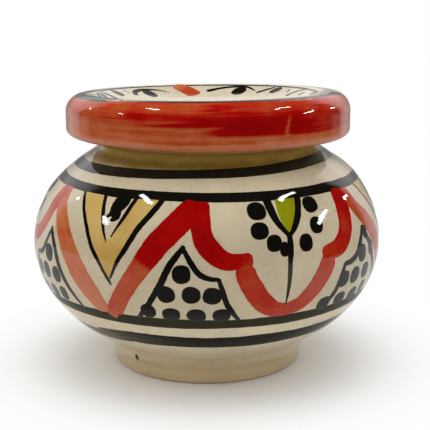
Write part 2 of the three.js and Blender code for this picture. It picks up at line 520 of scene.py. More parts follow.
class Brush:
    """Strokes of one paint on one wall, gathered into one mesh of closed, slightly raised blots."""

    def __init__(self, wall, thickness, ragged=RAGGED, column=STROKE_COLUMN):
        self.wall = wall
        self.thickness = thickness
        self.ragged = ragged
        self.column = column
        self.points = []
        self.normals = []
        self.faces = []
        self.marks = []
        self.loads = []
        self.strokes = 0

    def next_seed(self):
        self.strokes += 1
        return STROKE_SEED * (self.strokes - 1)

    def height_at(self, from_edge, raised=0):
        return mix(-PAINT_EDGE_DEPTH, self.thickness + raised, ease(from_edge, 0, PAINT_EDGE))

    def put(self, degrees, along, lift, mark, load):
        """One point of the paint, with the wall's own outward direction and what the material reads."""
        self.points.append(self.wall.point(degrees, along, lift))
        self.normals.append(self.wall.normal(degrees, along))
        self.marks.append(mark)
        self.loads.append(load)

    def span(self, here, there):
        """How far apart two points of a path are on the wall, in millimetres."""
        per_mm = self.wall.degrees_per_mm(here[1])
        return math.hypot((there[0] - here[0]) / per_mm, there[1] - here[1])

    def line(self, path):
        """Closely spaced points of a soft line through the path's (degrees, along, width, load) points."""
        ends = [path[0], *path, path[-1]]
        points = []
        for before, here, there, after in zip(ends, ends[1:], ends[2:], ends[3:]):
            steps = max(2, math.ceil(self.span(here, there) / LINE_STEP))
            for step in range(steps):
                values = zip(before, here, there, after)
                points.append([soft_curve(*value, step / steps) for value in values])
        points.append(list(path[-1]))
        return points

    def waver(self, distance, side, seed):
        """What the half width on that side is multiplied by, at that distance along the stroke."""
        long_wave = Vector((distance * LONG_WAVES_PER_MM, side * SIDE_SEED, seed))
        short_wave = Vector((distance * SHORT_WAVES_PER_MM, side * SIDE_SEED, seed + SHORT_WAVES_SEED))
        return 1 + self.ragged * (noise.noise(long_wave) + SHORT_WAVES_SHARE * noise.noise(short_wave))

    def stroke(self, path, raised=0, climb=0, coats=()):
        """One stroke through (degrees, along, width, load) points, with blunt ends and coats on parts of it.

        It lies that much higher than the brush's thickness, and climbs by that much from start to end.
        """
        seed = self.next_seed()
        line = self.line(path)
        marks = [0]
        for before, after in zip(line, line[1:]):
            marks.append(marks[-1] + self.span(before, after))
        whole = marks[-1]
        rows = stroke_rows(whole, line[0][2], line[-1][2])
        columns = stroke_columns(max(point[2] for point in line) / 2, self.column)

        start = len(self.points)
        for distance, share in rows:
            index = min(len(marks) - 2, max(0, bisect.bisect_right(marks, distance) - 1))
            before, after = line[index], line[index + 1]
            part = (distance - marks[index]) / max(NO_LENGTH, marks[index + 1] - marks[index])
            degrees, along, width, load = (mix(a, b, part) for a, b in zip(before, after))
            per_mm = self.wall.degrees_per_mm(along)
            ahead = Vector(((after[0] - before[0]) / per_mm, after[1] - before[1])).normalized()
            halves = [share * width / 2 * self.waver(distance, side, seed) for side in (-1, 1)]
            from_end = min(distance, whole - distance) + CAP_EDGE
            higher = raised + climb * distance / whole
            surface = [(place, None) for place in columns]
            underside = [(1, -PAINT_ROOT_DEPTH), (-1, -PAINT_ROOT_DEPTH)]
            for place, lift in surface + underside:
                half = halves[place > 0]
                wet = load
                if lift is None:
                    lift = self.height_at(min((1 - abs(place)) * half, from_end), higher)
                    wet = coated(load, coats, degrees, place)
                aside = degrees - ahead.y * place * half * per_mm
                self.put(aside, along + ahead.x * place * half, lift, (distance, place, seed), wet)
        self.join_rows(start, len(rows), len(columns) + 2)

    def join_rows(self, start, rows, loop):
        """Faces between rows of points that each go round the stroke, and over its two ends."""
        for row in range(rows - 1):
            near = start + row * loop
            for place in range(loop):
                after = (place + 1) % loop
                self.faces.append([near + place, near + after, near + loop + after, near + loop + place])
        self.faces.append([start + place for place in range(loop)])
        end = start + (rows - 1) * loop
        self.faces.append([end + place for place in reversed(range(loop))])

    def dab(self, degrees, along, width, tall, lean=0, load=1):
        """One touch of the brush: a rounded blot of that width and height, leaning by that many degrees."""
        seed = self.next_seed()
        per_mm = self.wall.degrees_per_mm(along)
        tilt = math.radians(lean)
        start = len(self.points)
        small = min(width, tall) / 2
        self.put(degrees, along, self.height_at(small), (0, 0, seed), load)
        rings = [(share, self.height_at((1 - share) * small)) for share in DAB_RINGS]
        rings.append((1, -PAINT_ROOT_DEPTH))
        for share, lift in rings:
            for spoke in range(DAB_SPOKES):
                turn = 2 * math.pi * spoke / DAB_SPOKES
                right = math.cos(turn)
                up = math.sin(turn)
                lobes = noise.noise(Vector((right * DAB_LOBES, up * DAB_LOBES, seed)))
                blunt = (abs(right) ** DAB_BLUNT + abs(up) ** DAB_BLUNT) ** (-1 / DAB_BLUNT)
                reach = share * blunt * (1 + DAB_RAGGED * self.ragged * lobes)
                across = width / 2 * reach * right
                above = tall / 2 * reach * up
                aside = across * math.cos(tilt) + above * math.sin(tilt)
                rise = above * math.cos(tilt) - across * math.sin(tilt)
                self.put(degrees + aside * per_mm, along + rise, lift, (above, share, seed), load)
        self.put(degrees, along, -PAINT_ROOT_DEPTH, (0, 0, seed), load)
        under = len(self.points) - 1
        outermost = start + 1 + (len(rings) - 1) * DAB_SPOKES
        for spoke in range(DAB_SPOKES):
            after = (spoke + 1) % DAB_SPOKES
            self.faces.append([start, start + 1 + spoke, start + 1 + after])
            for ring in range(len(rings) - 1):
                near = start + 1 + ring * DAB_SPOKES
                far = near + DAB_SPOKES
                self.faces.append([near + spoke, far + spoke, far + after, near + after])
            self.faces.append([outermost + spoke, under, outermost + after])

    def piece(self, name, material, body, slot):
        """Makes the painted piece, which rides on that body."""
        made = mesh_piece(name, self.points, self.faces, material)
        made.data.normals_split_custom_set_from_vertices(self.normals)
        marks = made.data.attributes.new("stroke", "FLOAT_VECTOR", "POINT")
        marks.data.foreach_set("vector", [value for mark in self.marks for value in mark])
        loads = made.data.attributes.new("load", "FLOAT", "POINT")
        loads.data.foreach_set("value", self.loads)
        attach(made, body)


# Node helpers

def add(tree, kind, inputs=None, **settings):
    """A node of that kind with its settings, its inputs set or linked by name or number."""
    node = tree.nodes.new(kind)
    for name, value in settings.items():
        setattr(node, name, value)
    for name, value in (inputs or {}).items():
        if isinstance(value, bpy.types.NodeSocket):
            tree.links.new(value, node.inputs[name])
        else:
            node.inputs[name].default_value = value
    return node


def calc(tree, operation, first, second=0.0, third=0.0, clamp=False):
    """One step of arithmetic on up to three numbers."""
    inputs = {0: first, 1: second, 2: third}
    return add(tree, "ShaderNodeMath", inputs, operation=operation, use_clamp=clamp).outputs[0]


def vector_calc(tree, operation, inputs):
    return add(tree, "ShaderNodeVectorMath", inputs, operation=operation).outputs[0]


def blend(tree, share, first, second, how="MIX"):
    """The first colour turned into the second, or multiplied by it, by that share."""
    inputs = {0: share, 6: first, 7: second}
    return add(tree, "ShaderNodeMix", inputs, data_type="RGBA", blend_type=how).outputs[2]


def fit(tree, value, low, high, to_low=0.0, to_high=1.0):
    """A soft step from one number to another while the value goes from low to high."""
    inputs = {"Value": value, "From Min": low, "From Max": high, "To Min": to_low, "To Max": to_high}
    return add(tree, "ShaderNodeMapRange", inputs, interpolation_type="SMOOTHSTEP").outputs[0]


def shades(tree, value, stops):
    """A colour ramp; each stop is (position, colour)."""
    node = add(tree, "ShaderNodeValToRGB", {"Fac": value})
    marks = node.color_ramp.elements
    while len(marks) < len(stops):
        marks.new(1)
    for mark, (position, colour) in zip(marks, stops):
        mark.position = position
        mark.color = (*colour, 1)
    return node.outputs[0]


def millimetres(tree):
    """The piece's own coordinates, in millimetres."""
    place = add(tree, "ShaderNodeTexCoord").outputs["Object"]
    return vector_calc(tree, "SCALE", {0: place, "Scale": 1 / MM})


def noise_value(tree, place, scale, detail=2.0, rough=0.5):
    inputs = {"Vector": place, "Scale": scale, "Detail": detail, "Roughness": rough}
    return add(tree, "ShaderNodeTexNoise", inputs).outputs[0]


def group(name, inputs, outputs):
    """A node group with named numbers; returns its tree, what it is given and what it puts out."""
    tree = bpy.data.node_groups.new(name, "ShaderNodeTree")
    for socket, value in inputs.items():
        made = tree.interface.new_socket(socket, in_out="INPUT", socket_type="NodeSocketFloat")
        made.default_value = value
    for socket in outputs:
        tree.interface.new_socket(socket, in_out="OUTPUT", socket_type="NodeSocketFloat")
    return tree, tree.nodes.new("NodeGroupInput").outputs, tree.nodes.new("NodeGroupOutput").inputs


def use(tree, made, inputs):
    """A node of that group with its inputs set; returns its outputs."""
    return add(tree, "ShaderNodeGroup", inputs, node_tree=made).outputs


# Effects shared by the glazes
# Scales are in waves or cells per millimetre. A pair is where a soft step starts and ends.
NOISE_MIDDLE = 0.5
CRACK_BEND = 2.4
CRACK_BEND_SCALE = 0.25
CRACK_BEND_DETAIL = 2.0
# Large and small cells: (size, how much their cracks show)
CRACK_CELLS = ((1.0, 1.0), (0.3, 0.5))
CRACKED_SCALE = 0.07
CRACKED = (0.34, 0.56)
SHADE = (0.3, 0.7)
SHADE_DETAIL = 5.0
SHADE_ROUGH = 0.62
SPECK_CELLS = 0.24
SPECK_SIZES = 0.11
RIPPLE_SCALE = 0.22
RIPPLE_DETAIL = 3.0
RIPPLE_ROUGH = 0.45
HAIR_LENGTH = 0.045
HAIR_SCALE = 1.6
HAIR_DETAIL = 3.0
HAIR_HEIGHT = 0.004
BLOTCH_SCALE = 0.13
BLOTCH_DETAIL = 4.0
PAINT_ROUGH = 0.6
POOLED_EDGE = (0.8, 1.0)
RAGGED_SCALE = 0.12
RAGGED_DETAIL = 3.0
BARE_RAGGED = 0.5
BARE_EDGE = 0.1


def crazing_group():
    """Hairline cracks in the glaze, large cells split into faint small ones.

    Crack is a mask, Height is in millimetres.
    """
    inputs = {"Cell": 3.5, "Line": 0.05, "Depth": 0.01}
    tree, given, made = group("crazing", inputs, ("Crack", "Height"))
    place = millimetres(tree)
    waves = {"Vector": place, "Scale": CRACK_BEND_SCALE, "Detail": CRACK_BEND_DETAIL}
    bend = add(tree, "ShaderNodeTexNoise", waves).outputs[1]
    bend = vector_calc(tree, "SUBTRACT", {0: bend, 1: 3 * (NOISE_MIDDLE,)})
    bent = vector_calc(tree, "MULTIPLY_ADD", {0: bend, 1: 3 * (CRACK_BEND,), 2: place})
    near = 0.0
    for size, weight in CRACK_CELLS:
        per_mm = calc(tree, "DIVIDE", 1.0 / size, given["Cell"])
        inputs = {"Vector": bent, "Scale": per_mm}
        cells = add(tree, "ShaderNodeTexVoronoi", inputs, feature="DISTANCE_TO_EDGE")
        line = calc(tree, "MULTIPLY", given["Line"], per_mm)
        crack = calc(tree, "SUBTRACT", 1.0, calc(tree, "DIVIDE", cells.outputs[0], line), clamp=True)
        near = calc(tree, "MULTIPLY_ADD", crack, weight, near, clamp=True)
    patchy = fit(tree, noise_value(tree, place, CRACKED_SCALE), *CRACKED)
    crack = calc(tree, "MULTIPLY", near, patchy)
    downwards = calc(tree, "MULTIPLY", given["Depth"], -1.0)
    tree.links.new(crack, made["Crack"])
    tree.links.new(calc(tree, "MULTIPLY", crack, downwards), made["Height"])
    return tree


def firing_group():
    """Uneven firing: soft patches of shade, iron specks, and the soft ripple of the melted surface."""
    inputs = {"Patch": 14.0, "Speck": 0.16, "Ripple": 0.01}
    tree, given, made = group("firing", inputs, ("Shade", "Speck", "Height"))
    place = millimetres(tree)
    patches = noise_value(tree, place, calc(tree, "DIVIDE", 1.0, given["Patch"]), SHADE_DETAIL, SHADE_ROUGH)
    tree.links.new(fit(tree, patches, *SHADE), made["Shade"])
    dots = add(tree, "ShaderNodeTexVoronoi", {"Vector": place, "Scale": SPECK_CELLS}, feature="F1")
    size = calc(tree, "MULTIPLY", given["Speck"], noise_value(tree, place, SPECK_SIZES))
    speck = calc(tree, "SUBTRACT", 1.0, calc(tree, "DIVIDE", dots.outputs[0], size), clamp=True)
    tree.links.new(speck, made["Speck"])
    ripple = noise_value(tree, place, RIPPLE_SCALE, RIPPLE_DETAIL, RIPPLE_ROUGH)
    tree.links.new(calc(tree, "MULTIPLY", ripple, given["Ripple"]), made["Height"])
    return tree


def brush_group():
    """How thickly a stroke covers: the load of the brush, its hair streaks, blotches and pooled edge."""
    inputs = {"Streaks": 3.0, "Strength": 0.5, "Blotches": 0.3, "Pool": 0.0}
    tree, given, made = group("brush_marks", inputs, ("Cover", "Height"))
    stroke = add(tree, "ShaderNodeAttribute", attribute_name="stroke").outputs["Vector"]
    load = add(tree, "ShaderNodeAttribute", attribute_name="load").outputs["Fac"]
    distance, across, seed = add(tree, "ShaderNodeSeparateXYZ", {0: stroke}).outputs
    hairs = add(tree, "ShaderNodeCombineXYZ", {
        0: calc(tree, "MULTIPLY", distance, HAIR_LENGTH),
        1: calc(tree, "MULTIPLY", across, given["Streaks"]),
        2: seed,
    }).outputs[0]
    streak = noise_value(tree, hairs, HAIR_SCALE, HAIR_DETAIL, PAINT_ROUGH)
    streak = calc(tree, "SUBTRACT", streak, NOISE_MIDDLE)
    blotch = noise_value(tree, millimetres(tree), BLOTCH_SCALE, BLOTCH_DETAIL, PAINT_ROUGH)
    blotch = calc(tree, "SUBTRACT", blotch, NOISE_MIDDLE)
    cover = calc(tree, "MULTIPLY_ADD", streak, given["Strength"], load)
    cover = calc(tree, "MULTIPLY_ADD", blotch, given["Blotches"], cover)
    edge = fit(tree, calc(tree, "ABSOLUTE", across), *POOLED_EDGE)
    cover = calc(tree, "MULTIPLY_ADD", edge, given["Pool"], cover, clamp=True)
    tree.links.new(cover, made["Cover"])
    tree.links.new(calc(tree, "MULTIPLY", streak, HAIR_HEIGHT), made["Height"])
    return tree


def levels_group():
    """Heights on the pot: Level wavers like the edge of a poured glaze, Bare is the clay below a line."""
    tree, given, made = group("glaze_levels", {"Below": 0.0, "Waver": 2.0}, ("Level", "Bare"))
    place = millimetres(tree)
    ragged = calc(tree, "SUBTRACT", noise_value(tree, place, RAGGED_SCALE, RAGGED_DETAIL), NOISE_MIDDLE)
    height = add(tree, "ShaderNodeSeparateXYZ", {0: place}).outputs[2]
    tree.links.new(calc(tree, "MULTIPLY_ADD", ragged, given["Waver"], height), made["Level"])
    line = calc(tree, "MULTIPLY_ADD", ragged, BARE_RAGGED, height)
    low = calc(tree, "SUBTRACT", given["Below"], BARE_EDGE)
    high = calc(tree, "ADD", given["Below"], BARE_EDGE)
    tree.links.new(fit(tree, line, low, high, 1.0, 0.0), made["Bare"])
    return tree


CRAZING = crazing_group()
FIRING = firing_group()
BRUSH_MARKS = brush_group()
GLAZE_LEVELS = levels_group()


# Materials
GLAZE_IOR = 1.5
GLAZE_ROUGH = (0.02, 0.04)
CLAY_ROUGHER = 0.7
CREAM = ((0.635, 0.537, 0.368, 1), (0.565, 0.48, 0.33, 1))
CREAM_GLOSS = 0.5
CREAM_FIRING = {"Patch": 16.0, "Speck": 0.12, "Ripple": 0.007}
CREAM_CRAZING = {"Cell": 3.6, "Line": 0.11, "Depth": 0.003}
CRACK_BROWN = (0.33, 0.25, 0.16, 1)
# How much the cracks are stained, at the lower of two heights and at the upper
CRACK_STAIN_HEIGHTS = (6, 24)
CRACK_STAIN = (0.15, 0.44)
SPECK_BROWN = (0.2, 0.13, 0.07, 1)
SPECK_SHARE = 0.6
CLAY = ((0.5, 0.36, 0.24, 1), (0.4, 0.27, 0.17, 1))
PAINT_FIRING = {"Patch": 9.0, "Speck": 0.1, "Ripple": 0.007}

# Lines that turning left on the foot
TURNING_LINE = (0.86, 0.84, 0.8, 1)
TURNING_SCALE = 0.4
TURNING_DETAIL = 2.0
TURNING_SHARE = (0.38, 0.66)
TURNED_BELOW = (9.5, 7.5)


def new_glaze(name, gloss):
    """A material with a clear glaze of that gloss; returns it with its node tree and its shader."""
    material = bpy.data.materials.new(name)
    material.use_nodes = True
    tree = material.node_tree
    shader = tree.nodes["Principled BSDF"]
    shader.inputs["IOR"].default_value = GLAZE_IOR
    shader.inputs["Specular IOR Level"].default_value = gloss
    return material, tree, shader


def raise_surface(tree, shader, height):
    """Bumps the shader's normal by a height in millimetres."""
    bump = add(tree, "ShaderNodeBump", {"Height": height, "Distance": MM, "Strength": 1.0})
    tree.links.new(bump.outputs[0], shader.inputs["Normal"])


def turning_lines(tree, place_parts):
    """How dark the foot's turning lines are."""
    height = place_parts[2]
    level = add(tree, "ShaderNodeCombineXYZ", {2: height}).outputs[0]
    lines = fit(tree, noise_value(tree, level, TURNING_SCALE, TURNING_DETAIL), *TURNING_SHARE)
    return calc(tree, "MULTIPLY", lines, fit(tree, height, *TURNED_BELOW))


def cream_glaze(name, bare_below, tints, turned_foot=False):
    """Clear glaze on pale clay, bare below that height, with tints by height, painted shade and painted
    light among them.

    Each tint is (height where it starts, height where it is full, lean, colour). With a lean, the heights
    count for more towards the back.
    """
    material, tree, shader = new_glaze(name, CREAM_GLOSS)
    firing = use(tree, FIRING, CREAM_FIRING)
    crazing = use(tree, CRAZING, CREAM_CRAZING)
    levels = use(tree, GLAZE_LEVELS, {"Below": bare_below})
    parts = add(tree, "ShaderNodeSeparateXYZ", {0: millimetres(tree)}).outputs
    colour = blend(tree, firing["Shade"], *CREAM)
    for start, full, lean, tint in tints:
        level = calc(tree, "MULTIPLY_ADD", parts[1], lean, levels["Level"])
        colour = blend(tree, fit(tree, level, start, full), colour, (*tint, 1), "MULTIPLY")
    if turned_foot:
        colour = blend(tree, turning_lines(tree, parts), colour, TURNING_LINE, "MULTIPLY")
    stain = fit(tree, parts[2], *CRACK_STAIN_HEIGHTS, *CRACK_STAIN)
    colour = blend(tree, calc(tree, "MULTIPLY", crazing["Crack"], stain), colour, CRACK_BROWN)
    colour = blend(tree, calc(tree, "MULTIPLY", firing["Speck"], SPECK_SHARE), colour, SPECK_BROWN)
    colour = blend(tree, levels["Bare"], colour, blend(tree, firing["Shade"], *CLAY))
    tree.links.new(colour, shader.inputs["Base Color"])
    rough = fit(tree, firing["Shade"], 0.0, 1.0, *GLAZE_ROUGH)
    rough = calc(tree, "MULTIPLY_ADD", levels["Bare"], CLAY_ROUGHER, rough)
    tree.links.new(rough, shader.inputs["Roughness"])
    raise_surface(tree, shader, calc(tree, "ADD", firing["Height"], crazing["Height"]))
    return material


def painted_glaze(name, stops, gloss, streaks, strength, blotches, pool):
    """Brushed paint under the clear glaze; the stops run from thin paint to thick."""
    material, tree, shader = new_glaze(name, gloss)
    inputs = {"Streaks": streaks, "Strength": strength, "Blotches": blotches, "Pool": pool}
    brush = use(tree, BRUSH_MARKS, inputs)
    firing = use(tree, FIRING, PAINT_FIRING)
    tree.links.new(shades(tree, brush["Cover"], stops), shader.inputs["Base Color"])
    rough = fit(tree, firing["Shade"], 0.0, 1.0, *GLAZE_ROUGH)
    tree.links.new(rough, shader.inputs["Roughness"])
    raise_surface(tree, shader, calc(tree, "ADD", firing["Height"], brush["Height"]))
    return material


# Glaze pooled at the neck, darkened and yellowed further as painted shade under the lid; above it thinner
# glaze, lightened further as painted light under the lid's edge
HONEY_POOL_AND_NECK_SHADE = (0.46, 0.31, 0.07)
THIN_HONEY_AND_NECK_LIGHT = (2.4, 2.8, 3.8)
# Painted shade on the foot under the belly, warm like light bounced off the cream, reaching higher at the
# front
FOOT_PAINTED_SHADE = (0.83, 0.75, 0.61)
# Painted light from below on the low belly between the base rings; the tint after it ends that light lower
# down
LOW_BELLY_PAINTED_LIGHT = (1.16, 1.17, 1.18)
LOW_BELLY_PAINTED_LIGHT_ENDS = (0.86, 0.855, 0.85)
# Painted light from above on the lid's crest and dish
PAINTED_LIGHT_ON_DISH = (1.04, 1.08, 1.16)
FOOT_BARE_BELOW = 0.7
SEAT_BARE_ABOVE = 0.3
# Tints of the bowl: glaze pool with painted shade and painted light at the neck, painted shade on the foot,
# painted light on the low belly
BOWL_TINTS = (
    (71, 73.6, 0.0, HONEY_POOL_AND_NECK_SHADE),
    (74.0, 76.2, 0.0, THIN_HONEY_AND_NECK_LIGHT),
    (2.6, 0.4, 0.2, FOOT_PAINTED_SHADE),
    (29, 26, 0.0, LOW_BELLY_PAINTED_LIGHT),
    (21.5, 18, 0.0, LOW_BELLY_PAINTED_LIGHT_ENDS),
)
# The lid's tint is painted light on the crest and dish
LID_TINTS = ((84, 90, 0.0, PAINTED_LIGHT_ON_DISH),)

# Paints: stops of (cover, colour)
REDS = (
    (0.0, (0.55, 0.17, 0.075)),
    (0.3, (0.46, 0.085, 0.022)),
    (0.55, (0.43, 0.03, 0.008)),
    (0.75, (0.38, 0.002, 0.001)),
    (1.0, (0.30, 0.0003, 0.0005)),
)
BLACKS = (
    (0.0, (0.16, 0.1, 0.03)),
    (0.3, (0.05, 0.038, 0.012)),
    (0.6, (0.012, 0.0095, 0.005)),
    (1.0, (0.004, 0.0035, 0.0025)),
)
BASE_BLACKS = (
    (0.0, (0.12, 0.1, 0.05)),
    (0.3, (0.04, 0.038, 0.02)),
    (0.6, (0.015, 0.014, 0.007)),
    (1.0, (0.006, 0.0055, 0.003)),
)
OCHRES = (
    (0.0, (0.63, 0.49, 0.24)),
    (0.5, (0.59, 0.40, 0.135)),
    (1.0, (0.50, 0.30, 0.07)),
)
GREENS = (
    (0.0, (0.30, 0.31, 0.01)),
    (0.5, (0.24, 0.245, 0.002)),
    (1.0, (0.13, 0.14, 0.001)),
)

BOWL_CREAM = cream_glaze("bowl_cream_glaze", FOOT_BARE_BELOW, BOWL_TINTS, turned_foot=True)
LID_CREAM = cream_glaze("lid_cream_glaze", SEAT_HEIGHT + SEAT_BARE_ABOVE, LID_TINTS)
RED = painted_glaze(
    "red_under_glaze", REDS, gloss=0.45, streaks=3.0, strength=0.42, blotches=0.62, pool=0.08)
RIM_RED = painted_glaze(
    "red_rim_under_glaze", REDS, gloss=0.45, streaks=9.0, strength=0.45, blotches=0.55, pool=0.08)
BLACK = painted_glaze(
    "black_under_glaze", BLACKS, gloss=0.4, streaks=2.0, strength=0.25, blotches=0.2, pool=-0.5)
BASE_BLACK = painted_glaze(
    "black_base_under_glaze", BASE_BLACKS, gloss=0.06, streaks=2.0, strength=0.25, blotches=0.2, pool=-0.5)
OCHRE = painted_glaze(
    "ochre_under_glaze", OCHRES, gloss=0.5, streaks=2.5, strength=0.5, blotches=0.85, pool=0.1)
GREEN = painted_glaze(
    "green_under_glaze", GREENS, gloss=0.5, streaks=2.0, strength=0.5, blotches=0.5, pool=0.1)


# Bowl and lid in cream glaze

BOWL_OUTLINE = finer(bowl_outline(), BOWL_STEP)
LID_OUTLINE = finer(lid_outline(), LID_STEP)
bowl_glaze = turned_piece("bowl_glaze", BOWL_OUTLINE, bowl_by_hand, False, BOWL_CREAM)
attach(bowl_glaze, "bowl")
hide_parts("bowl")
lid_glaze = turned_piece("lid_glaze", LID_OUTLINE, lid_by_hand, True, LID_CREAM)
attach(lid_glaze, "lid")
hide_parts("lid")

# The bowl's painted wall starts on the straight side of the foot, above its rounded edge.
FOOT_SIDE_ABOVE_ROUND = 1
FOOT_SIDE_HEIGHT = FOOT_EDGE_ROUND + FOOT_SIDE_ABOVE_ROUND
FOOT_SIDE = (mix(FOOT_RADIUS, FOOT_TOP_RADIUS, FOOT_SIDE_HEIGHT / FOOT_HEIGHT), FOOT_SIDE_HEIGHT)
BOWL_WALL_LINE = [FOOT_SIDE] + lower_belly(0) + upper_belly(0, NECK_RADIUS)[1:]
bowl_side = Wall(finer(BOWL_WALL_LINE, BOWL_STEP), bowl_by_hand)


# Ornament of the bowl
# The garland rises to six peaks. Between them a pointed section, the spear, takes turns with a lobed one.
PEAKS = (-60, -2.5, 53, 115, 176, 238, 300)
SPEAR_WIDTH = 57.5
LOBE_WIDTH = 55.5

# Each section: (how far the hand shakes, degrees that its outer red stroke stands aside, how much wider that
# stroke is, how much more paint it has)
SECTIONS = (
    (0.0, 0.0, 1.0, 0.0), (0.0, 0.0, 1.0, 0.0), (0.8, 1.0, 1.05, 0.25),
    (0.8, 0.0, 1.0, 0.0), (0.8, 1.0, 1.1, 0.1), (0.8, 0.8, 0.9, -0.28),
)

# Points are (degrees from the section's left peak, height, width, load of the brush).
SPEAR_GARLAND = (
    ((0.1, 65.4, 6.2, 0.25), (3.1, 60.4, 6.0, 0.2), (5.4, 57.8, 6.2, 0.15), (10.2, 52.4, 7.0, 0.2),
     (14.0, 47.6, 7.6, 0.12), (19.2, 40.4, 8.0, 0.12), (22.9, 35.6, 7.6, 0.05), (26.0, 30.9, 5.8, 0.05),
     (28.4, 28.2, 5.0, 0.45)),
    ((57.4, 65.0, 8.0, 0.95), (51.4, 59.5, 7.8, 0.9), (46.0, 54.0, 7.6, 0.9), (43.0, 49.8, 7.2, 0.9),
     (41.6, 47.9, 6.7, 0.9), (41.0, 46.9, 6.5, 0.5), (39.7, 45.0, 6.2, 0.46), (35.3, 38.3, 5.8, 0.41),
     (28.6, 28.2, 5.6, 0.36)),
)
LOBE_GARLAND = (
    ((0.1, 65.4, 6.0, 0.9), (0.8, 57.7, 6.2, 0.95), (2.4, 53.5, 6.5, 0.95), (5.1, 50.4, 6.3, 0.95),
     (8.3, 48.6, 5.5, 0.82), (12.5, 48.6, 4.7, 0.75), (15.7, 48.9, 4.7, 0.68)),
    ((13.3, 47.4, 5.9, 0.6), (13.8, 43.8, 6.4, 0.58), (16.2, 39.2, 6.6, 0.57), (19.1, 35.2, 6.4, 0.55),
     (23.2, 32.4, 5.7, 0.56), (28.6, 31.5, 5.0, 0.56)),
    ((41.6, 47.4, 6.0, 0.56), (40.5, 44.6, 6.5, 0.48), (37.9, 40.2, 6.4, 0.48), (33.9, 35.4, 6.0, 0.5),
     (30.8, 33.1, 5.6, 0.52), (26.2, 31.8, 5.0, 0.54)),
    ((54.6, 65.8, 7.6, 0.8), (52.8, 60.6, 7.2, 0.85), (51.2, 55.4, 6.8, 0.66), (49.0, 51.8, 6.6, 0.74),
     (45.6, 49.2, 6.0, 0.7), (42.4, 48.5, 5.2, 0.65), (38.6, 47.9, 4.8, 0.6)),
)
SPEAR_OCHRE = (
    ((16.6, 66.8, 8.6, 0.5), (17.6, 65.2, 8.8, 0.55), (20.7, 61.0, 7.3, 0.6), (23.1, 57.0, 6.4, 0.6),
     (25.6, 52.6, 6.0, 0.65), (27.4, 49.6, 5.4, 0.7)),
    ((41.4, 66.8, 7.4, 0.6), (40.5, 65.1, 7.2, 0.65), (38.2, 61.5, 6.7, 0.65), (35.3, 57.0, 6.1, 0.7),
     (33.2, 53.4, 6.0, 0.65), (31.4, 50.0, 5.4, 0.7)),
    ((29.4, 53.4, 6.4, 0.7), (29.4, 51.6, 11.6, 0.8), (29.5, 49.2, 10.0, 0.88), (29.8, 46.8, 7.0, 0.9),
     (30.1, 44.2, 3.8, 0.9), (30.4, 41.8, 0.8, 0.9)),
)
SPEAR_LINES = (
    ((11.6, 66.0, 1.4, 0.9), (16.4, 60.9, 1.5, 1), (20.2, 56.1, 1.6, 1), (23.7, 50.5, 1.7, 1),
     (26.5, 46.8, 1.6, 1), (30.0, 41.5, 1.2, 0.9), (31.2, 39.6, 0.5, 0.6)),
    ((45.5, 65.8, 2.1, 1), (42.2, 61.4, 2.1, 1), (38.7, 57.0, 2.0, 1), (36.0, 52.0, 1.9, 1),
     (33.1, 47.1, 1.5, 1), (30.8, 41.6, 0.8, 0.8)),
    ((22.9, 66.0, 1.4, 0.9), (25.1, 61.1, 1.5, 0.95), (26.7, 56.9, 1.3, 0.9), (29.0, 52.2, 0.6, 0.7)),
    ((36.2, 66.0, 1.6, 1), (34.4, 61.9, 1.7, 1), (32.9, 58.8, 1.4, 0.9), (30.3, 54.1, 0.6, 0.6)),
    ((32.6, 66.6, 3.6, 1), (31.0, 64.4, 5.6, 1), (29.6, 62.0, 4.4, 1), (28.4, 60.4, 1.8, 0.9),
     (26.4, 59.2, 0.6, 0.7)),
    ((30.6, 62.6, 1.6, 1), (30.8, 60.6, 3.2, 1), (30.0, 59.4, 2.2, 0.9), (28.8, 58.6, 0.6, 0.8)),
)
LOBE_SEED = ((29.4, 67.4, 6.6, 0.7), (29.2, 65.6, 7.0, 0.6), (28.6, 63.2, 6.6, 0.4), (27.9, 60.4, 5.4, 0.35),
             (27.7, 56.0, 1.4, 0.5))
LOBE_LINES = (
    ((22.4, 66.2, 2.8, 1), (23.0, 62.4, 2.7, 1), (24.6, 58.6, 2.2, 1), (27.5, 55.0, 1.5, 1)),
    ((34.5, 66.0, 2.4, 1), (32.1, 60.6, 2.3, 1), (29.6, 57.0, 1.9, 1), (27.6, 54.8, 1.4, 1)),
    ((27.6, 55.6, 1.8, 1), (27.5, 51.4, 2.1, 1), (27.1, 46.0, 1.7, 0.55), (26.8, 40.5, 1.4, 0.45),
     (26.6, 36.9, 0.9, 0.6), (26.3, 32.4, 0.4, 0.8)),
)
# Dots are (degrees, height, width, tall).
LOBE_DOTS = (
    (18.2, 62.4, 5.9, 6.0), (18.3, 57.0, 5.8, 5.4), (22.4, 53.2, 5.2, 5.3), (25.6, 51.2, 3.4, 4.6),
    (38.1, 62.8, 5.8, 5.6), (38.0, 56.9, 5.2, 5.4), (33.0, 52.3, 5.0, 5.5),
)
